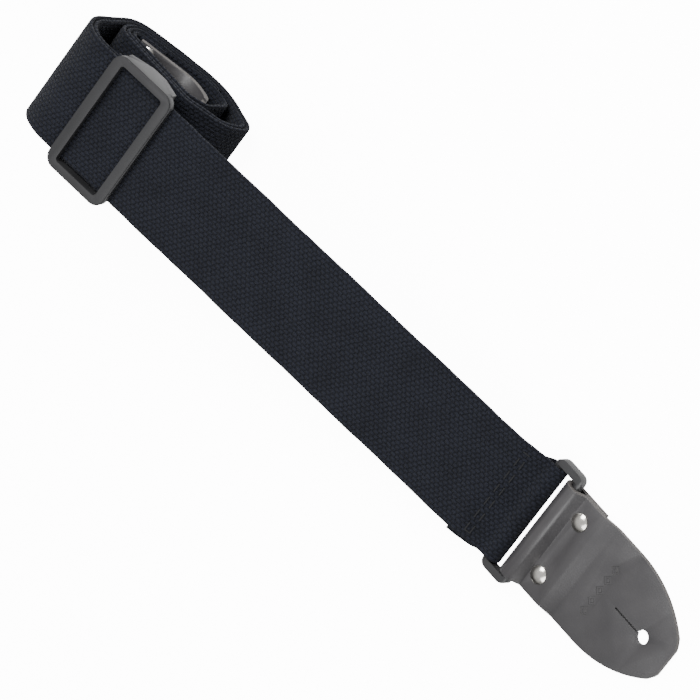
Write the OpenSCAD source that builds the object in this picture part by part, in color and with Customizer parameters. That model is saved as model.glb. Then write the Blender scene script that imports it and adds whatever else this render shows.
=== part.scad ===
// Guitar strap: cotton webbing in two lengths joined by a three-bar slider.
// The front end carries a leather tab on a rectangular ring.
// The rear end is rolled up, with its own leather tab inside the roll.
// Origin: front button hole on the table. X along the strap, Y across, Z up.

/* [Webbing] */
// width of both lengths of webbing
web_w = 50.8; // [38:0.1:64]
// thickness of one strand
web_t = 2; // [1.4:0.1:2.6]
// gap between strands that lie on each other
strand_gap = 0.3; // [0.2:0.1:1]
// straight run from the front seam to the left bend of the roll
run_l = 258; // [200:1:600]
// rise of the run towards the roll, degrees
run_rise = 10.9; // [8:0.1:13]

/* [Leather tabs] */
// width of a tab
tab_w = 48.4; // [36:0.1:60]
// thickness of the leather
leather_t = 2.2; // [1.6:0.1:3]
// length of the tapering tip
tip_l = 38; // [30:1:46]
// radius of the tapering sides
tip_r = 55; // [48:1:70]
// distance from the button hole to the tip
hole_to_tip = 15; // [12:1:20]
// diameter of the button hole
hole_d = 6; // [5:0.1:8]
// length of the slit beside the button hole
slit_l = 17; // [12:1:22]
// width of the slit
slit_w = 0.8; // [0.5:0.1:1.5]

/* [Ring] */
// thickness of the round ring bars
bar_d = 4.6; // [3.6:0.1:6]
// spacing of the two ring bars
bar_pitch = 11.8; // [11:0.1:20]
// thickness of the ring side walls
side_t = 3.5; // [2.5:0.1:5]
// gap between a bar and what is folded round it
slip = 0.3; // [0.2:0.05:0.8]
// play between the webbing edge and a plastic side wall
edge_play = 0.6; // [0.4:0.1:1.5]

/* [Slider] */
// length of the slider along the strap
slider_l = 33; // [30:1:44]
// width of the two outer bars
slider_bar_w = 4.8; // [4:0.1:8]
// thickness of the two outer bars
slider_t = 3.3; // [2.4:0.1:4.5]
// thickness of the sunk centre bar
centre_bar_d = 3; // [2.4:0.1:4]
// thickness of the slider side walls
slider_side_t = 3.8; // [2.4:0.1:4.5]
// length of the sewn loop behind the centre bar
loop_l = 20; // [18:1:21]

/* [Rivets and thread] */
// diameter of a rivet cap
cap_d = 7.6; // [6:0.1:9]
// height of the domed cap
dome_h = 1.6; // [1:0.1:2.2]
// diameter of the rivet tube
tube_d = 3.2; // [2.6:0.1:4]
// distance between the two front rivets
front_rivet_pitch = 29.2; // [24:0.1:32]
// distance between the two rear rivets
rear_rivet_pitch = 40; // [30:1:40]
// thickness of the sewing thread
thread_t = 0.6; // [0.4:0.1:0.9]

/* [Roll] */
// clear height inside the coils of the roll
core_h = 30.1; // [29:0.1:31]
// distance from the left bend to the right bend
roll_l = 69; // [66:1:84]

/* [Hidden] */
$fn = 64;
arc_step = 9;
eps = 0.01;
fine = 0.05;
cloth = [0.05, 0.05, 0.07];
hide = [0.11, 0.1, 0.1];
plastic = [0.16, 0.16, 0.17];
nickel = [0.75, 0.74, 0.7];
thread = [0.09, 0.09, 0.11];

// bars and folds
pitch = web_t + strand_gap;
bar_r = bar_d / 2;
web_bend = bar_r + slip + web_t / 2;
hide_bend = bar_r + slip + leather_t / 2;
bar_z = hide_bend + leather_t / 2;
near_x = -61.5;
far_x = near_x - bar_pitch;
ring_in = web_w + 2 * edge_play;

// straight run, measured at its middle plane
seam_x = far_x - 15.5;
seam_z = bar_z + web_bend + 5.4;
left_x = seam_x - run_l;
function run_z(x) = seam_z + tan(run_rise) * (seam_x - x);

// slider
slider_x = left_x + 43;
slider_z = run_z(slider_x) + web_t / 2 / cos(run_rise);
centre_r = centre_bar_d / 2;
centre_n = -pitch - web_t - slip + 0.1 - centre_r;
loop_bend = centre_r + slip - 0.1 + web_t / 2;
loop_top_n = centre_n + loop_bend;
loop_low_n = loop_top_n - pitch;
slider_w = ring_in + 2 * slider_side_t;
slider_low_n = centre_n - centre_r - 0.5;

// rivets
cap_r = cap_d / 2;
tube_r = tube_d / 2;
tube_wall = 0.5;
back_t = 0.6;
ply_gap = 0.1;
hole_slack = 0.1;
front_rivet_x = -51.3;
front_fold_x = -45;
main_z = leather_t * 1.5 + ply_gap;
stack_top = 2 * leather_t + ply_gap;

// ---- rounded strand: corners [x, z, radius] joined by tangent arcs ----
function flat(v) = [v[0], v[1]];
function unit(v) = v / norm(v);
function left_of(v) = [-v[1], v[0]];
function turned(v, a) = [v[0] * cos(a) - v[1] * sin(a), v[0] * sin(a) + v[1] * cos(a)];
function heading(p, i) = unit(flat(p[i + 1]) - flat(p[i]));
function bend(d, e) = atan2(d[0] * e[1] - d[1] * e[0], d * e);
function corner(q, r, d, a) =
    let (s = sign(a), n = max(1, ceil(abs(a) / arc_step)),
         c = q - d * r * tan(abs(a) / 2) + s * r * left_of(d))
    [for (k = [0 : n]) [c + turned(-s * r * left_of(d), a * k / n),
                        turned(left_of(d), a * k / n)]];
// two corners that would meet in the strand between them both get smaller
function reach(p, i) = (i == 0 || i == len(p) - 1) ? 0
    : p[i][2] * tan(abs(bend(heading(p, i - 1), heading(p, i))) / 2);
function share(p, i) = norm(flat(p[i + 1]) - flat(p[i])) / max(eps, reach(p, i) + reach(p, i + 1));
function radius(p, i) = p[i][2] * min(1, share(p, i - 1), share(p, i));
function traced(p) = concat(
    [[flat(p[0]), left_of(heading(p, 0))]],
    [for (i = [1 : len(p) - 2])
        each corner(flat(p[i]), radius(p, i), heading(p, i - 1),
                    bend(heading(p, i - 1), heading(p, i)))],
    [[flat(p[len(p) - 1]), left_of(heading(p, len(p) - 2))]]);
function band(p, t) = let (c = traced(p), n = len(c)) concat(
    [for (k = [0 : n - 1]) c[k][0] + c[k][1] * t / 2],
    [for (k = [n - 1 : -1 : 0]) c[k][0] - c[k][1] * t / 2]);
function shift_corner(p, i, d) =
    let (a = heading(p, i - 1), b = heading(p, i), m = left_of(a) + left_of(b))
    concat(flat(p[i]) + m * d / (1 + a * b), p[i][2] - d * sign(bend(a, b)));
function shifted(p, d) = concat(
    [concat(flat(p[0]) + left_of(heading(p, 0)) * d, 0)],
    [for (i = [1 : len(p) - 2]) shift_corner(p, i, d)],
    [concat(flat(p[len(p) - 1]) + left_of(heading(p, len(p) - 2)) * d, 0)]);

module strand(p, t, w) {
    translate([0, w / 2, 0])
        rotate([90, 0, 0])
            linear_extrude(height = w)
                polygon(band(p, t));
}

// ---- routes, all in the X-Z plane ----
layer_z = core_h + 3 * pitch;
// outer strand: down the left bend, along the table, up, back and down again
bend_x = left_x + roll_l + 2;
coil = [[left_x, run_z(left_x), 16.5],
        [left_x, 18, 14],
        [left_x + 37, web_t / 2, 30],
        [left_x + 50, web_t / 2, 25],
        [bend_x, 9.5, 8],
        [bend_x - 3, 26, 12],
        [bend_x - 20, layer_z - 1, 12],
        [left_x + 2 * pitch, layer_z, 8],
        [left_x + 2 * pitch, 21, 8],
        [left_x + 38, web_t / 2 + 2 * pitch, 25],
        [left_x + 45, web_t / 2 + 2 * pitch, 0]];
// front fold: tail, round the far bar, back over it and up to the run
fold_a = [far_x - 3.5, bar_z + web_bend];
fold_k = [seam_x, seam_z];
seam_dir = unit(fold_k - fold_a);
seam_rise = atan2(seam_dir[1], -seam_dir[0]);
seam_l = norm(fold_k - fold_a);
run_dir = [-cos(run_rise), sin(run_rise)];
upper = [concat(fold_a, 0), concat(fold_k, 15), concat(fold_k + run_dir * 4, 0)];
tail = shifted(upper, pitch);
front_path = concat(
    [tail[2], concat(flat(tail[1]), 15)],
    [concat(flat(tail[1]) - seam_dir * 9, 3),
     [far_x - 4, bar_z - web_bend, 3],
     [far_x + web_bend, bar_z - web_bend, web_bend - eps],
     [far_x + web_bend, bar_z + web_bend, web_bend - eps],
     concat(fold_a, 5),
     concat(fold_k, 15)],
    coil);
// inner strand: starts behind the slider loop and follows the outer one inside
rear_start_x = left_x + 21;
rear_top = shifted(concat([[rear_start_x, run_z(rear_start_x), 0]], coil), pitch);
slant = unit([37, web_t / 2 - 18]);
slant_n = left_of(slant);
hold = rear_top[9];
rivet_room = 2.05;
end_corner = [left_x + 4 * pitch,
              hold[1] + (web_t + rivet_room - pitch * slant_n[0]) / slant_n[1]];
rear_path = concat(
    [for (i = [0 : 10]) rear_top[i]],
    [[left_x + 49, web_t / 2 + 3 * pitch, 15],
     [left_x + 55, web_t / 2 + 3 * pitch + 2.6, 5],
     [left_x + 55, 25, 5],
     [left_x + 47, layer_z - 1 - 2 * pitch - 0.2, 8],
     [left_x + 4 * pitch, layer_z - 2 * pitch - 0.3, 4],
     concat(end_corner, 3),
     concat(end_corner + slant * 14, 0)]);
// rear tab, lying on the end of the inner strand and folded over inside the roll
tab_rise = (web_t + leather_t) / 2 + ply_gap;
rear_tab_start = end_corner + slant * 2.6 + slant_n * tab_rise;
rear_knee = rear_tab_start + slant * 28;
leg_room = 2.1;
rear_leg_z = layer_z - 2 * pitch - 0.3 - (web_t + leather_t) / 2 - leg_room;
rear_leg_l = 24.5;
rear_top_x = left_x + 50.7;
rear_split_z = rear_leg_z - 8;
rear_tab_path = [concat(rear_tab_start, 0),
                 concat(rear_knee, 16),
                 [rear_top_x, rear_knee[1] + 3.2, 6],
                 [rear_top_x, rear_leg_z, 4.8],
                 [rear_top_x - rear_leg_l, rear_leg_z, 0]];
rear_leg_x = rear_top_x - 6;
rear_rivet_at = rear_tab_start + slant * 5;
// loop on the slider, in the frame of the slider
loop_path = [[-loop_l, loop_top_n, 0],
             [loop_bend, loop_top_n, loop_bend - eps],
             [loop_bend, loop_top_n - 2 * loop_bend, loop_bend - eps],
             [-3, loop_top_n - 2 * loop_bend, 3],
             [-9, loop_low_n, 3],
             [-loop_l + 1, loop_low_n, 0]];
// front tab: lower ply, round the near bar, down onto the lower ply, down to the table
front_tab_path = [[front_fold_x, leather_t / 2, 0],
                  [near_x - hide_bend, leather_t / 2, hide_bend - eps],
                  [near_x - hide_bend, bar_z + hide_bend, hide_bend - eps],
                  [near_x + 1.9, bar_z + hide_bend, 2.2],
                  [near_x + 5.6, main_z, 1.4],
                  [front_fold_x + 0.8, main_z, 6],
                  [front_fold_x + 8, leather_t / 2, 6],
                  [hole_to_tip, leather_t / 2, 0]];

// ---- webbing and thread ----
seam_rows = [-seam_l + 3, -seam_l + 5.6];
seam_mid = pitch / 2;
loop_rows = [-loop_l + 4, -loop_l + 8];
stitches = 12;
stitch_w = (web_w - 8) / stitches;
hole_w = thread_t + 0.3;
seam_h = pitch + web_t;

module stitch_holes(rows) {
    for (u = rows)
        for (k = [0 : stitches])
            translate([u - hole_w / 2, -web_w / 2 + 4 + k * stitch_w - hole_w / 2, -seam_h])
                cube([hole_w, hole_w, 2 * seam_h]);
}

module stitch_rows(rows) {
    for (u = rows)
        for (k = [0 : stitches]) {
            translate([u - thread_t / 2, -web_w / 2 + 4 + k * stitch_w - thread_t / 2,
                       -seam_h / 2 - fine - thread_t / 2])
                cube([thread_t, thread_t, seam_h + 2 * fine + thread_t]);
            if (k < stitches)
                translate([u - thread_t / 2, -web_w / 2 + 4 + k * stitch_w - thread_t / 2,
                           (k % 2 == 0 ? seam_h / 2 + fine : -seam_h / 2 - fine - thread_t / 2)])
                    cube([thread_t, stitch_w + thread_t, thread_t / 2]);
        }
    for (side = [-1, 1])
        translate([rows[0] - thread_t / 2, side * (web_w / 2 - 4) - thread_t / 2,
                   seam_h / 2 + fine])
            cube([rows[1] - rows[0] + thread_t, thread_t, thread_t / 2]);
}

// frame on the sewn zone: x back along the strand, z square to it, middle of both strands
module at_seam() {
    translate([fold_a[0], 0, fold_a[1]])
        rotate([0, seam_rise, 0])
            translate([0, 0, -seam_mid])
                children();
}

module at_slider() {
    translate([slider_x, 0, slider_z])
        rotate([0, run_rise, 0])
            children();
}

module front_webbing() {
    color(cloth)
        difference() {
            strand(front_path, web_t, web_w);
            at_seam()
                stitch_holes(seam_rows);
        }
}

module rear_webbing() {
    color(cloth)
        difference() {
            strand(rear_path, web_t, web_w);
            for (side = [-1, 1])
                at_rear_rivet(side)
                    translate([0, 0, -leather_t - web_t - 1])
                        cylinder(h = leather_t + web_t + 2, r = tube_r + hole_slack);
        }
}

module rear_webbing_loop() {
    color(cloth)
        at_slider()
            difference() {
                strand(loop_path, web_t, web_w);
                translate([0, 0, loop_top_n - seam_mid])
                    stitch_holes(loop_rows);
            }
}

module front_seam_thread() {
    color(thread)
        at_seam()
            stitch_rows(seam_rows);
}

module loop_seam_thread() {
    color(thread)
        at_slider()
            translate([0, 0, loop_top_n - seam_mid])
                loop_stitches();
}

// the loop is sewn with its upper thread sunk level with the cloth
module loop_stitches() {
    for (u = loop_rows)
        for (k = [0 : stitches]) {
            translate([u - thread_t / 2, -web_w / 2 + 4 + k * stitch_w - thread_t / 2,
                       -seam_h / 2 - fine - thread_t / 2])
                cube([thread_t, thread_t, seam_h + fine + thread_t / 2]);
            if (k < stitches)
                translate([u - thread_t / 2, -web_w / 2 + 4 + k * stitch_w - thread_t / 2,
                           -seam_h / 2 - fine - thread_t / 2])
                    cube([thread_t, stitch_w + thread_t, thread_t / 2]);
        }
    translate([loop_rows[0], web_w / 2 - 4 - thread_t / 2, -seam_h / 2 - fine - thread_t / 2])
        cube([loop_rows[1] - loop_rows[0], thread_t, thread_t / 2]);
}

// ---- plastic parts ----
module plate(l, w, r, h) {
    translate([-l / 2 + r, -w / 2, 0])
        cube([l - 2 * r, w, h]);
    translate([-l / 2, -w / 2 + r, 0])
        cube([l, w - 2 * r, h]);
    for (a = [-1, 1])
        for (b = [-1, 1])
            translate([a * (l / 2 - r), b * (w / 2 - r), 0])
                cylinder(h = h, r = r);
}

module slider() {
    bevel = 1.1;
    corner_r = 5.5;
    cheek_l = slider_l / 2 - 3.5;
    color(plastic)
        at_slider() {
            difference() {
                union() {
                    translate([0, 0, strand_gap])
                        plate(slider_l, slider_w, corner_r, slider_t - bevel / 2);
                    translate([0, 0, strand_gap + slider_t - bevel / 2 - eps])
                        plate(slider_l - bevel, slider_w - bevel, corner_r - bevel / 2,
                              bevel / 2 + eps);
                }
                translate([0, 0, strand_gap - 1])
                    plate(slider_l - 2 * slider_bar_w, ring_in, 1.5, slider_t + 2);
            }
            for (side = [-1, 1])
                translate([0, side * (ring_in / 2 + slider_side_t / 2) + slider_side_t / 2, 0])
                    rotate([90, 0, 0])
                        linear_extrude(height = slider_side_t)
                            polygon([[-cheek_l, strand_gap + eps],
                                     [-cheek_l, -web_t - 1],
                                     [-centre_r - 2, slider_low_n],
                                     [centre_r + 2, slider_low_n],
                                     [cheek_l, -web_t - 1],
                                     [cheek_l, strand_gap + eps]]);
            translate([0, slider_w / 2 - 0.5, centre_n])
                rotate([90, 0, 0])
                    cylinder(h = slider_w - 1, r = centre_r);
        }
}

module front_ring() {
    ring_w = ring_in + 2 * side_t;
    ring_l = bar_pitch + bar_d;
    corner_r = 4.5;
    color(plastic)
        intersection() {
            translate([0, 0, bar_z]) {
                for (x = [far_x, near_x])
                    translate([x, ring_w / 2, 0])
                        rotate([90, 0, 0])
                            cylinder(h = ring_w, r = bar_r);
                for (side = [-1, 1])
                    translate([far_x, side * (ring_in + side_t) / 2 - side_t / 2, -bar_r])
                        cube([bar_pitch, side_t, bar_d]);
            }
            translate([(far_x + near_x) / 2, 0, bar_z - bar_d])
                plate(ring_l, ring_w, corner_r, 2 * bar_d);
        }
}

// ---- leather tabs ----
// plan of a tab with the tip at x = 0 and the body running to -l
module tab_plan(l) {
    half = tab_w / 2;
    drop = tip_r - sqrt(tip_r * tip_r - tip_l * tip_l);
    steps = 12;
    tip_half = half - drop;
    soft = 2.5;
    side_pts = [for (k = [0 : steps])
        let (x = -tip_l + (tip_l - soft) * k / steps)
        [x, half - tip_r + sqrt(tip_r * tip_r - (tip_l + x) * (tip_l + x))]];
    top = concat([[-l, half]], side_pts, [[-0.7, tip_half - 0.6], [0, tip_half - soft]]);
    polygon(concat(top, [for (k = [len(top) - 1 : -1 : 0]) [top[k][0], -top[k][1]]]));
}

module button_cut() {
    translate([-hole_to_tip, 0, -1])
        cylinder(h = leather_t + 2, d = hole_d);
    translate([-hole_to_tip - slit_l, -slit_w / 2, -1])
        cube([slit_l, slit_w, leather_t + 2]);
}

// pressed ornament: a short row of diamonds across the tab
module ornament() {
    depth = 0.25;
    diamond = 3.4;
    for (k = [-2 : 2])
        translate([-hole_to_tip - 27, k * 5.6, leather_t - depth])
            rotate([0, 0, 45])
                difference() {
                    translate([-diamond / 2, -diamond / 2, 0])
                        cube([diamond, diamond, 1]);
                    translate([-diamond / 4, -diamond / 4, -1])
                        cube([diamond / 2, diamond / 2, 3]);
                }
}

module front_tab() {
    color(hide)
        difference() {
            intersection() {
                strand(front_tab_path, leather_t, tab_w);
                translate([hole_to_tip, 0, -1])
                    linear_extrude(height = bar_z + hide_bend + leather_t)
                        tab_plan(hole_to_tip - near_x + 2 * hide_bend);
            }
            translate([hole_to_tip, 0, 0]) {
                button_cut();
                ornament();
            }
            for (side = [-1, 1])
                at_front_rivet(side) {
                    translate([0, 0, -1])
                        cylinder(h = stack_top + 2, r = tube_r + hole_slack);
                    translate([0, 0, -1])
                        cylinder(h = back_t + hole_slack + 1, r = cap_r + hole_slack);
                }
        }
}

// what the tapering tip leaves out of the upper leg of the folded rear tab
module rear_taper(leg) {
    steps = 5;
    rise = rear_leg_z + leather_t / 2 - rear_split_z;
    translate([rear_top_x - rear_leg_l, 0, rear_leg_z - leather_t])
        rotate([0, 0, 180])
            linear_extrude(height = 2 * leather_t)
                difference() {
                    translate([-leg, -tab_w])
                        square([leg + 1, 2 * tab_w]);
                    tab_plan(2 * tip_l);
                }
    for (side = [-1, 1])
        translate([rear_leg_x, 0, 0])
            rotate([90, 0, 90])
                linear_extrude(height = 20)
                    polygon(concat(
                        [[side * (tab_w / 2 + 2), rear_split_z]],
                        [for (k = [0 : steps])
                            [side * tip_half(leg + rise * (1 - k / steps)),
                             rear_split_z + rise * k / steps]],
                        [[side * tip_half(leg), rear_leg_z + leather_t],
                         [side * (tab_w / 2 + 2), rear_leg_z + leather_t]]));
}

module rear_tab() {
    color(hide)
        difference() {
            strand(rear_tab_path, leather_t, tab_w);
            rear_taper(rear_leg_x - rear_top_x + rear_leg_l);
            translate([rear_top_x - rear_leg_l, 0, rear_leg_z - leather_t / 2])
                rotate([0, 0, 180])
                    button_cut();
            for (side = [-1, 1])
                at_rear_rivet(side)
                    translate([0, 0, -leather_t - 1])
                        cylinder(h = leather_t + 2, r = tube_r + hole_slack);
        }
}
function tip_half(s) =
    tab_w / 2 - tip_r + sqrt(tip_r * tip_r - pow(max(0, tip_l - s), 2));

// ---- rivets: domed cap with a pin, and a flat back with a tube ----
// frame with z = 0 on the leather face the cap sits on
module at_front_rivet(side) {
    translate([front_rivet_x, side * front_rivet_pitch / 2, 0])
        children();
}

module at_rear_rivet(side) {
    translate([rear_rivet_at[0], side * rear_rivet_pitch / 2, rear_rivet_at[1]])
        rotate([0, -atan2(slant[1], slant[0]), 0])
            translate([0, 0, leather_t / 2])
                children();
}

module rivet_cap(grip) {
    rim = 0.4;
    ball = (cap_r * cap_r + (dome_h - rim) * (dome_h - rim)) / 2 / (dome_h - rim);
    translate([0, 0, fine])
        cylinder(h = rim, r = cap_r);
    translate([0, 0, fine + rim - eps])
        intersection() {
            translate([0, 0, dome_h - rim - ball])
                sphere(r = ball, $fn = 96);
            cylinder(h = dome_h, r = cap_r);
        }
    translate([0, 0, -grip + 1])
        cylinder(h = grip - 1 + 2 * fine, r = tube_r - tube_wall - fine);
}

module rivet_back(grip) {
    translate([0, 0, -grip])
        cylinder(h = back_t, r = cap_r);
    translate([0, 0, -grip])
        difference() {
            cylinder(h = grip - fine, r = tube_r);
            translate([0, 0, back_t])
                cylinder(h = grip, r = tube_r - tube_wall);
        }
}

front_grip = stack_top;
rear_grip = leather_t + web_t + ply_gap + fine + back_t;

module front_left_rivet_cap() {
    color(nickel)
        at_front_rivet(1)
            translate([0, 0, stack_top])
                rivet_cap(front_grip);
}

module front_right_rivet_cap() {
    color(nickel)
        at_front_rivet(-1)
            translate([0, 0, stack_top])
                rivet_cap(front_grip);
}

module front_left_rivet_back() {
    color(nickel)
        at_front_rivet(1)
            translate([0, 0, stack_top])
                rivet_back(front_grip);
}

module front_right_rivet_back() {
    color(nickel)
        at_front_rivet(-1)
            translate([0, 0, stack_top])
                rivet_back(front_grip);
}

module rear_left_rivet_cap() {
    color(nickel)
        at_rear_rivet(1)
            rivet_cap(rear_grip);
}

module rear_right_rivet_cap() {
    color(nickel)
        at_rear_rivet(-1)
            rivet_cap(rear_grip);
}

module rear_left_rivet_back() {
    color(nickel)
        at_rear_rivet(1)
            rivet_back(rear_grip);
}

module rear_right_rivet_back() {
    color(nickel)
        at_rear_rivet(-1)
            rivet_back(rear_grip);
}

front_webbing();
rear_webbing();
rear_webbing_loop();
slider();
front_ring();
front_tab();
rear_tab();
front_left_rivet_cap();
front_right_rivet_cap();
front_left_rivet_back();
front_right_rivet_back();
rear_left_rivet_cap();
rear_right_rivet_cap();
rear_left_rivet_back();
rear_right_rivet_back();
front_seam_thread();
loop_seam_thread();
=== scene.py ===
import bpy
import bmesh
import math
from mathutils import Vector, Matrix


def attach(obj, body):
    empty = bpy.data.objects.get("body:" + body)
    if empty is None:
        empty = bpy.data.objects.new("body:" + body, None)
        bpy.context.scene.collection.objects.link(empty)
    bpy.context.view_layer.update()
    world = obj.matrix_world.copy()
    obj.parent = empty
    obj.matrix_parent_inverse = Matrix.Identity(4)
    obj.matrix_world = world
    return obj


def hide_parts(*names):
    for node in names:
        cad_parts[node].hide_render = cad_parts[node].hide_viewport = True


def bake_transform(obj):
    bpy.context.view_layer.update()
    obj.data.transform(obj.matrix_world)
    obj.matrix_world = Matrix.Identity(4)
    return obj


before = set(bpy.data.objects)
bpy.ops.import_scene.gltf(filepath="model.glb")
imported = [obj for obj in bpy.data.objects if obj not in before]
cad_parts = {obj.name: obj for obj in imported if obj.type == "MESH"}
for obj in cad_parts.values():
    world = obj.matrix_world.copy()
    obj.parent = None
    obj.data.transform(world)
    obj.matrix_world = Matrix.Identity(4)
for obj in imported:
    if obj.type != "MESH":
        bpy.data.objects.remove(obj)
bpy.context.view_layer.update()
mm = 0.001

# strap sizes in millimetres, as in the CAD source
strap = {"width": 50.8, "thick": 2.0, "gap": 0.3, "runLength": 258.0, "rise": 10.9}
hide = {"thick": 2.2}
ring = {"barRadius": 2.3, "pitch": 11.8, "nearX": -61.5, "slip": 0.3}
roll = {"length": 69.0, "core": 30.1}
seam = {"behindBar": 15.5, "lift": 5.4, "bend": 15.0, "foldBack": 3.5, "tail": 9.0}
slider = {"fromLeft": 43.0, "barRadius": 1.5, "loop": 20.0}
rear = {"fromLeft": 21.0, "rivetRoom": 2.05, "end": 14.0}
tiny = 0.01


# a strand's route in the X-Z plane: corners [x, z, radius] joined by tangent arcs
def unit(v):
    return v.normalized()


def leftOf(v):
    return Vector((-v.y, v.x))


def turned(v, a):
    return Vector((v.x * math.cos(a) - v.y * math.sin(a), v.x * math.sin(a) + v.y * math.cos(a)))


def bendOf(d, e):
    return math.atan2(d.x * e.y - d.y * e.x, d.dot(e))


def headings(path):
    flat = [Vector(p[:2]) for p in path]
    return [unit(b - a) for a, b in zip(flat, flat[1:])]


def reachOf(path, heads, i):
    if i in (0, len(path) - 1):
        return 0.0
    return path[i][2] * math.tan(abs(bendOf(heads[i - 1], heads[i])) / 2)


# two corners that would meet in the strand between them both get smaller
def share(path, heads, i):
    span = (Vector(path[i + 1][:2]) - Vector(path[i][:2])).length
    return span / max(tiny, reachOf(path, heads, i) + reachOf(path, heads, i + 1))


def traced(path, arcStep=6.0, lineStep=2.0):
    heads = headings(path)
    rough = [(Vector(path[0][:2]), leftOf(heads[0]))]
    for i in range(1, len(path) - 1):
        angle = bendOf(heads[i - 1], heads[i])
        radius = path[i][2] * min(1, share(path, heads, i - 1), share(path, heads, i))
        side = 1 if angle >= 0 else -1
        normal = leftOf(heads[i - 1])
        reach = radius * math.tan(abs(angle) / 2)
        centre = Vector(path[i][:2]) - heads[i - 1] * reach + normal * side * radius
        count = max(1, math.ceil(math.degrees(abs(angle)) / arcStep))
        for k in range(count + 1):
            part = angle * k / count
            rough.append((centre + turned(normal * -side * radius, part), turned(normal, part)))
    rough.append((Vector(path[-1][:2]), leftOf(heads[-1])))
    fine = [rough[0]]
    for (a, na), (b, nb) in zip(rough, rough[1:]):
        span = (b - a).length
        if span < 1e-4:
            continue
        count = max(1, round(span / lineStep))
        for k in range(1, count + 1):
            fine.append((a.lerp(b, k / count), unit(na.lerp(nb, k / count))))
    return fine


def shifted(path, d):
    heads = headings(path)
    out = [(*(Vector(path[0][:2]) + leftOf(heads[0]) * d), 0)]
    for i in range(1, len(path) - 1):
        a, b = heads[i - 1], heads[i]
        spot = Vector(path[i][:2]) + (leftOf(a) + leftOf(b)) * d / (1 + a.dot(b))
        side = 1 if bendOf(a, b) >= 0 else -1
        out.append((spot.x, spot.y, path[i][2] - d * side))
    out.append((*(Vector(path[-1][:2]) + leftOf(heads[-1]) * d), 0))
    return out


pitch = strap["thick"] + strap["gap"]
webBend = ring["barRadius"] + ring["slip"] + strap["thick"] / 2
hideBend = ring["barRadius"] + ring["slip"] + hide["thick"] / 2
barZ = hideBend + hide["thick"] / 2
farX = ring["nearX"] - ring["pitch"]
seamX = farX - seam["behindBar"]
seamZ = barZ + webBend + seam["lift"]
leftX = seamX - strap["runLength"]
rise = math.radians(strap["rise"])


def runZ(x):
    return seamZ + math.tan(rise) * (seamX - x)


bendX = leftX + roll["length"] + 2
layerZ = roll["core"] + 3 * pitch
half = strap["thick"] / 2
coil = [(leftX, runZ(leftX), 16.5), (leftX, 18, 14), (leftX + 37, half, 30), (leftX + 50, half, 25),
        (bendX, 9.5, 8), (bendX - 3, 26, 12), (bendX - 20, layerZ - 1, 12),
        (leftX + 2 * pitch, layerZ, 8), (leftX + 2 * pitch, 21, 8),
        (leftX + 38, half + 2 * pitch, 25), (leftX + 45, half + 2 * pitch, 0)]
foldA = Vector((farX - seam["foldBack"], barZ + webBend))
foldK = Vector((seamX, seamZ))
seamDir = unit(foldK - foldA)
runDir = Vector((-math.cos(rise), math.sin(rise)))
upper = [(*foldA, 0), (*foldK, seam["bend"]), (*(foldK + runDir * 4), 0)]
tail = shifted(upper, pitch)
tailKnee = Vector(tail[1][:2])
frontPath = [tail[2], (*tailKnee, seam["bend"]), (*(tailKnee - seamDir * seam["tail"]), 3),
             (farX - 4, barZ - webBend, 3), (farX + webBend, barZ - webBend, webBend - tiny),
             (farX + webBend, barZ + webBend, webBend - tiny), (*foldA, 5), (*foldK, seam["bend"])] + coil
rearStartX = leftX + rear["fromLeft"]
rearTop = shifted([(rearStartX, runZ(rearStartX), 0)] + coil, pitch)
slant = unit(Vector((37, half - 18)))
slantN = leftOf(slant)
endCorner = Vector((leftX + 4 * pitch,
                    rearTop[9][1] + (strap["thick"] + rear["rivetRoom"] - pitch * slantN.x) / slantN.y))
rearPath = rearTop[:11] + [
    (leftX + 49, half + 3 * pitch, 15), (leftX + 55, half + 3 * pitch + 2.6, 5),
    (leftX + 55, 25, 5), (leftX + 47, layerZ - 1 - 2 * pitch - 0.2, 8),
    (leftX + 4 * pitch, layerZ - 2 * pitch - 0.3, 4), (*endCorner, 3),
    (*(endCorner + slant * rear["end"]), 0)]
sliderX = leftX + slider["fromLeft"]
sliderZ = runZ(sliderX) + half / math.cos(rise)
centreN = -pitch - strap["thick"] - ring["slip"] + 0.1 - slider["barRadius"]
loopBend = slider["barRadius"] + ring["slip"] - 0.1 + half
topN = centreN + loopBend
lowN = topN - pitch
loopLocal = [(-slider["loop"], topN, 0), (loopBend, topN, loopBend - tiny),
             (loopBend, topN - 2 * loopBend, loopBend - tiny), (-3, topN - 2 * loopBend, 3),
             (-9, lowN, 3), (1 - slider["loop"], lowN, 0)]
along = Vector((math.cos(rise), -math.sin(rise)))
upward = Vector((math.sin(rise), math.cos(rise)))


def fromSlider(u, n):
    return Vector((sliderX, sliderZ)) + along * u + upward * n


loopPath = [(*fromSlider(u, n), r) for u, n, r in loopLocal]


# how the webbing's edges thin out, and its raised selvedge, in millimetres
webEdge = {"soft": 0.9, "selvedge": 0.045, "inset": 1.7, "spread": 0.8, "underShift": 0.4}
tailDrift = {"length": 24.0, "curve": 0.6}


def edgeShape(y, width):
    soft = webEdge["soft"]
    into = max(0.0, abs(y) - (width / 2 - soft)) / soft
    return math.sqrt(max(0.0, 1 - into * into))


def selvedge(y, width):
    into = width / 2 - abs(y)
    return webEdge["selvedge"] * math.exp(-((into - webEdge["inset"]) / webEdge["spread"]) ** 2)


def ripple(s, y, seed):
    return (0.5 * math.sin(s * 0.19 + seed) + 0.3 * math.sin(s * 0.43 + 2 * seed + y * 0.05)
            + 0.2 * math.sin(s * 0.91 + y * 0.11))


def across(width, inner=20):
    soft = webEdge["soft"]
    ends = [width / 2 - soft * (1 - math.sin(math.radians(a))) for a in (90, 65, 40, 18, 0)]
    flatHalf = width / 2 - soft
    inside = [flatHalf - 2 * flatHalf * k / inner for k in range(1, inner)]
    return ends + inside + [-y for y in reversed(ends)]


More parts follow.
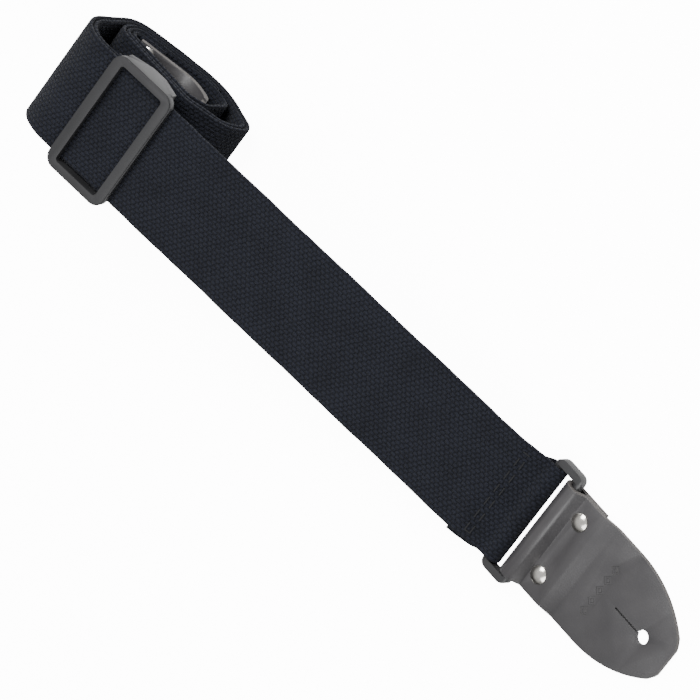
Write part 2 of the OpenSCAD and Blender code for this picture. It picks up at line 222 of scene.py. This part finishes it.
def bandMesh(name, path, width, thick, seed=0.0, wave=0.06, sway=0.18, step=2.0, skew=0.0):
    ys = across(width)
    line = traced(path, 6.0, step)
    mesh = bmesh.new()
    uv = mesh.loops.layers.uv.new("weave")
    rows = []
    place = {}
    run = 0.0
    last = line[0][0]
    for spot, normal in line:
        run += (spot - last).length
        last = spot
        row = []
        for y in ys + [-y for y in ys[1:-1]]:
            top = len(row) < len(ys)
            shape = edgeShape(y, width)
            lift = (thick / 2 + selvedge(y, width)) * shape * (1 if top else -1)
            lift += wave * ripple(run, y, seed)
            drift = skew * max(0.0, 1 - run / tailDrift["length"]) ** tailDrift["curve"]
            side = y + drift + sway * ripple(run * 0.6, 0, seed + 3) * abs(y) / (width / 2)
            p = spot + normal * lift
            vert = mesh.verts.new((p.x * mm, side * mm, p.y * mm))
            place[vert] = (run * mm, (y if top else y + webEdge["underShift"]) * mm)
            row.append(vert)
        rows.append(row)
    count = len(rows[0])
    faces = []
    for a, b in zip(rows, rows[1:]):
        for k in range(count):
            n = (k + 1) % count
            faces.append(mesh.faces.new((a[k], a[n], b[n], b[k])))
    for row in (rows[0], rows[-1]):
        tops = row[:len(ys)]
        lows = [row[0]] + row[:len(ys) - 1:-1] + [row[len(ys) - 1]]
        for k in range(len(ys) - 1):
            quad = [tops[k], lows[k], lows[k + 1], tops[k + 1]]
            single = []
            for v in quad:
                if v not in single:
                    single.append(v)
            faces.append(mesh.faces.new(single))
    for face in faces:
        face.smooth = True
        for loop in face.loops:
            loop[uv].uv = place[loop.vert]
    bmesh.ops.recalc_face_normals(mesh, faces=mesh.faces)
    data = bpy.data.meshes.new(name)
    mesh.to_mesh(data)
    mesh.free()
    piece = bpy.data.objects.new(name, data)
    bpy.context.scene.collection.objects.link(piece)
    return piece, run


rounding = {"weld": 2e-6, "flatAngle": 1.0}  # metres and degrees


# a copy of a CAD node with its sharp edges rounded
def softened(name, node, width, segments=3, angle=32):
    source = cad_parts[node]
    data = source.data.copy()
    data.name = name
    mesh = bmesh.new()
    mesh.from_mesh(data)
    bmesh.ops.remove_doubles(mesh, verts=mesh.verts, dist=rounding["weld"])
    bmesh.ops.dissolve_limit(mesh, angle_limit=math.radians(rounding["flatAngle"]), verts=mesh.verts,
                             edges=mesh.edges)
    mesh.to_mesh(data)
    mesh.free()
    data.materials.clear()
    piece = bpy.data.objects.new(name, data)
    bpy.context.scene.collection.objects.link(piece)
    bevel = piece.modifiers.new("round", "BEVEL")
    bevel.width = width * mm
    bevel.segments = segments
    bevel.limit_method = "ANGLE"
    bevel.angle_limit = math.radians(angle)
    bevel.harden_normals = True
    for poly in data.polygons:
        poly.use_smooth = True
    return piece


def newMaterial(name):
    material = bpy.data.materials.new(name)
    material.use_nodes = True
    tree = material.node_tree
    tree.nodes.clear()
    out = tree.nodes.new("ShaderNodeOutputMaterial")
    skin = tree.nodes.new("ShaderNodeBsdfPrincipled")
    tree.links.new(skin.outputs[0], out.inputs["Surface"])
    return material, tree, skin


def mathNode(tree, kind, a, b=None, c=None):
    node = tree.nodes.new("ShaderNodeMath")
    node.operation = kind
    for k, value in enumerate((a, b, c)):
        if value is None:
            continue
        if isinstance(value, (int, float)):
            node.inputs[k].default_value = value
        else:
            tree.links.new(value, node.inputs[k])
    return node.outputs[0]


def noiseNode(tree, vector, scale, detail=3.0):
    node = tree.nodes.new("ShaderNodeTexNoise")
    node.inputs["Scale"].default_value = scale
    node.inputs["Detail"].default_value = detail
    tree.links.new(vector, node.inputs["Vector"])
    return node.outputs[0]


def mixColor(tree, factor, a, b):
    node = tree.nodes.new("ShaderNodeMix")
    node.data_type = "RGBA"
    tree.links.new(factor, node.inputs[0])
    node.inputs[6].default_value = (*a, 1)
    node.inputs[7].default_value = (*b, 1)
    return node.outputs[2]


def bumpNode(tree, height, strength, distance):
    node = tree.nodes.new("ShaderNodeBump")
    node.inputs["Strength"].default_value = strength
    node.inputs["Distance"].default_value = distance
    tree.links.new(height, node.inputs["Height"])
    return node.outputs[0]


def weaveMaterial():
    cloth = {"rib": 1.7, "dash": 2.5, "dark": (0.0011, 0.0012, 0.0017),
             "light": (0.0126, 0.0141, 0.0209), "relief": 0.7,
             "rough": 0.92, "gloss": 0.12, "sheen": 0.03, "sheenRough": 0.5,
             "wobbleScale": 420, "fuzzScale": 1500, "patchScale": 70,
             "wanderU": 0.0016, "wanderV": 0.0009, "fuzz": 0.8, "patch": 0.7, "base": 0.4}
    material, tree, skin = newMaterial("cottonWebbing")
    coords = tree.nodes.new("ShaderNodeTexCoord")
    wobble = noiseNode(tree, coords.outputs["UV"], cloth["wobbleScale"], 2)
    parts = tree.nodes.new("ShaderNodeSeparateXYZ")
    tree.links.new(coords.outputs["UV"], parts.inputs[0])
    u = mathNode(tree, "MULTIPLY_ADD", wobble, cloth["wanderU"], parts.outputs[0])
    v = mathNode(tree, "MULTIPLY_ADD", wobble, cloth["wanderV"], parts.outputs[1])
    rib = mathNode(tree, "DIVIDE", v, cloth["rib"] * mm)
    lane = mathNode(tree, "FLOOR", rib)
    inRib = mathNode(tree, "SINE", mathNode(tree, "MULTIPLY", mathNode(tree, "FRACT", rib), math.pi))
    offset = mathNode(tree, "MULTIPLY", lane, 0.5)
    dash = mathNode(tree, "FRACT", mathNode(tree, "ADD", offset,
                                            mathNode(tree, "DIVIDE", u, cloth["dash"] * mm)))
    inDash = mathNode(tree, "SINE", mathNode(tree, "MULTIPLY", dash, math.pi))
    height = mathNode(tree, "MULTIPLY", mathNode(tree, "POWER", inRib, 0.7),
                      mathNode(tree, "POWER", inDash, 0.6))
    fuzz = noiseNode(tree, coords.outputs["UV"], cloth["fuzzScale"], 4)
    total = mathNode(tree, "MULTIPLY_ADD", fuzz, cloth["fuzz"], height)
    patch = noiseNode(tree, coords.outputs["UV"], cloth["patchScale"], 4)
    shade = mathNode(tree, "MULTIPLY_ADD", patch, cloth["patch"], cloth["base"])
    # the colour follows the weave's height: the raised ribs take the light colour and the grooves the dark
    # one, painted shade in the grooves and a painted highlight on the rib tops; the fuzz and patch noise
    # add the cotton's own uneven tone
    tone = mathNode(tree, "MULTIPLY", total, shade)
    tree.links.new(mixColor(tree, tone, cloth["dark"], cloth["light"]), skin.inputs["Base Color"])
    tree.links.new(bumpNode(tree, total, 1.0, cloth["relief"] * mm), skin.inputs["Normal"])
    skin.inputs["Roughness"].default_value = cloth["rough"]
    skin.inputs["Specular IOR Level"].default_value = cloth["gloss"]
    skin.inputs["Sheen Weight"].default_value = cloth["sheen"]
    skin.inputs["Sheen Roughness"].default_value = cloth["sheenRough"]
    return material


def grainMaterial(name, dark, light, rough, scale, relief):
    material, tree, skin = newMaterial(name)
    coords = tree.nodes.new("ShaderNodeTexCoord")
    cells = tree.nodes.new("ShaderNodeTexVoronoi")
    cells.inputs["Scale"].default_value = scale
    tree.links.new(coords.outputs["Object"], cells.inputs["Vector"])
    cloud = noiseNode(tree, coords.outputs["Object"], scale * 0.06, 5)
    fine = noiseNode(tree, coords.outputs["Object"], scale * 2.2, 3)
    height = mathNode(tree, "MULTIPLY_ADD", fine, 0.4, cells.outputs["Distance"])
    tree.links.new(mixColor(tree, cloud, dark, light), skin.inputs["Base Color"])
    tree.links.new(bumpNode(tree, height, 0.5, relief * mm), skin.inputs["Normal"])
    tree.links.new(mathNode(tree, "MULTIPLY_ADD", cloud, 0.2, rough - 0.1), skin.inputs["Roughness"])
    return material


def metalMaterial():
    material, tree, skin = newMaterial("nickel")
    coords = tree.nodes.new("ShaderNodeTexCoord")
    cloud = noiseNode(tree, coords.outputs["Object"], 900, 3)
    tree.links.new(mixColor(tree, cloud, (0.4, 0.385, 0.36), (0.66, 0.64, 0.6)), skin.inputs["Base Color"])
    tree.links.new(mathNode(tree, "MULTIPLY_ADD", cloud, 0.15, 0.12), skin.inputs["Roughness"])
    skin.inputs["Metallic"].default_value = 1.0
    return material


webbing = weaveMaterial()
leather = grainMaterial("blackLeather", dark=(0.03, 0.029, 0.031), light=(0.05, 0.048, 0.05),
                        rough=0.38, scale=1500, relief=0.05)
leatherEdge = grainMaterial("leatherEdge", dark=(0.05, 0.047, 0.045), light=(0.13, 0.12, 0.115),
                            rough=0.75, scale=1100, relief=0.15)
plastic = grainMaterial("satinPlastic", dark=(0.017, 0.017, 0.018), light=(0.028, 0.028, 0.03),
                        rough=0.4, scale=1400, relief=0.02)
threadSkin = grainMaterial("sewingThread", dark=(0.001, 0.001, 0.0014), light=(0.006, 0.0065, 0.009),
                           rough=0.9, scale=2600, relief=0.1)
nickel = metalMaterial()
print("materials ready")

# where the camera looks from: its axes, and how far the tab's tip is right of and below its aim, in metres
view = {"right": Vector((0.606, 0.553, -0.572)), "up": Vector((-0.679, 0.734, -0.009)),
        "lens": 322.2, "distance": 2.5, "sensor": 36.0, "tipRight": 0.125898, "tipBelow": 0.1251}
tabTip = Vector((15 * mm, 0, 2 * mm))
right = view["right"].normalized()
up = (view["up"] - right * view["up"].dot(right)).normalized()
back = right.cross(up)
aim = tabTip - right * view["tipRight"] + up * view["tipBelow"]
cameraData = bpy.data.cameras.new("camera")
cameraData.sensor_width = view["sensor"]
cameraData.lens = view["lens"]
cameraData.clip_end = 50
camera = bpy.data.objects.new("camera", cameraData)
bpy.context.scene.collection.objects.link(camera)
turn = Matrix((right, up, back)).transposed().to_4x4()
camera.matrix_world = Matrix.Translation(aim + back * view["distance"]) @ turn
bpy.context.scene.camera = camera

studio = {"dim": 0.06, "dimAt": 0.35, "brightAt": 0.9, "strength": 1.0}
world = bpy.data.worlds.new("world")
world.use_nodes = True
sky = world.node_tree
skyCoords = sky.nodes.new("ShaderNodeTexCoord")
skyParts = sky.nodes.new("ShaderNodeSeparateXYZ")
skyRamp = sky.nodes.new("ShaderNodeValToRGB")
skyRamp.color_ramp.elements[0].position = studio["dimAt"]
skyRamp.color_ramp.elements[0].color = (studio["dim"], studio["dim"], studio["dim"], 1)
skyRamp.color_ramp.elements[1].position = studio["brightAt"]
skyRamp.color_ramp.elements[1].color = (1, 1, 1, 1)
sky.links.new(skyCoords.outputs["Generated"], skyParts.inputs[0])
sky.links.new(skyParts.outputs[2], skyRamp.inputs[0])
sky.links.new(skyRamp.outputs[0], sky.nodes["Background"].inputs["Color"])
sky.nodes["Background"].inputs["Strength"].default_value = studio["strength"]
bpy.context.scene.world = world


def areaLight(name, spot, target, size, power):
    data = bpy.data.lights.new(name, "AREA")
    data.shape = "SQUARE"
    data.size = size
    data.energy = power
    lamp = bpy.data.objects.new(name, data)
    bpy.context.scene.collection.objects.link(lamp)
    lamp.location = spot
    lamp.rotation_euler = (Vector(target) - Vector(spot)).to_track_quat("-Z", "Y").to_euler()
    return lamp


areaLight("keyLight", (-0.5, 0.7, 1.0), (-0.16, 0, 0), size=0.6, power=22)
areaLight("fillLight", (0.7, -0.3, 0.9), (-0.16, 0, 0), size=0.8, power=12)

floorData = bpy.data.meshes.new("floor")
surface = {"reach": 6.0, "drop": 0.0001, "tone": 0.95, "glow": 12.0}
corners = [(-1, -1), (1, -1), (1, 1), (-1, 1)]
floorData.from_pydata([(x * surface["reach"], y * surface["reach"], -surface["drop"]) for x, y in corners],
                      [], [(0, 1, 2, 3)])
floor = bpy.data.objects.new("floor", floorData)
bpy.context.scene.collection.objects.link(floor)
floorSkin, floorTree, floorShader = newMaterial("whiteSurface")
floorShader.inputs["Base Color"].default_value = (*([surface["tone"]] * 3), 1)
floorShader.inputs["Roughness"].default_value = 0.8
floorShader.inputs["Emission Color"].default_value = (1, 1, 1, 1)
seen = floorTree.nodes.new("ShaderNodeLightPath")
glow = mathNode(floorTree, "MULTIPLY", seen.outputs["Is Camera Ray"], surface["glow"])
floorTree.links.new(glow, floorShader.inputs["Emission Strength"])
floorData.materials.append(floorSkin)
print("camera and light ready")


def makeBand(name, path, body, node, seed, **kind):
    piece, length = bandMesh(name, path, strap["width"], strap["thick"], seed, **kind)
    piece.data.materials.append(webbing)
    if node:
        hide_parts(node)
    if body:
        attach(piece, body)
    return piece, length


frontCloth, frontLength = makeBand("frontCloth", frontPath, "roll", "front_webbing", 0.4,
                                   skew=-2.3)
rearCloth, rearLength = makeBand("rearCloth", rearPath, "roll", "rear_webbing", 1.9)
loopCloth, loopLength = makeBand("loopCloth", loopPath, "slider_body", "rear_webbing_loop", 2.7,
                                 wave=0.03, sway=0.1)
# the strand between the roll and the loop, baked in place and attached to no body
join = {"overlap": 0.3, "step": 0.15}
joinStart = Vector(rearTop[0][:2]) - along * join["overlap"]
joinEnd = fromSlider(join["overlap"] - slider["loop"], topN)
joinCloth = makeBand("joinCloth", [(*joinStart, 0), (*joinEnd, 0)], None, None, 1.9,
                     wave=0.0, sway=0.0, step=join["step"])[0]
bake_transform(joinCloth)
print("webbing ready", round(frontLength, 1), round(rearLength, 1), round(loopLength, 1))

for name, node, body, width in (("sliderFrame", "slider", "slider_body", 0.9),
                                ("ringFrame", "front_ring", "ring_body", 0.6)):
    piece = softened(name, node, width)
    piece.data.materials.append(plastic)
    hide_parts(node)
    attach(piece, body)

# the leather's cut edge shows paler; the slit and hole keep the dark finish, in millimetres
cutEdge = {"sideTilt": 0.35, "endTilt": 0.9, "slitHalf": 8.5, "tipX": 14.0}
for name, node, body in (("frontLeather", "front_tab", "tab_body"), ("rearLeather", "rear_tab", "roll")):
    piece = softened(name, node, 0.3, 2, 40)
    piece.data.materials.append(leather)
    piece.data.materials.append(leatherEdge)
    for poly in piece.data.polygons:
        if abs(poly.normal.y) > cutEdge["sideTilt"] or abs(poly.normal.x) > cutEdge["endTilt"]:
            far = abs(poly.center.y) > cutEdge["slitHalf"] * mm or poly.center.x > cutEdge["tipX"] * mm
            poly.material_index = 1 if far else 0
    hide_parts(node)
    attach(piece, body)

for node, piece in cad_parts.items():
    if "rivet" in node or "thread" in node:
        skin = nickel if "rivet" in node else threadSkin
        piece.data.materials.clear()
        piece.data.materials.append(skin)
        for poly in piece.data.polygons:
            poly.use_smooth = "rivet" in node
        piece.data.set_sharp_from_angle(angle=math.radians(25))
print("hard parts ready")
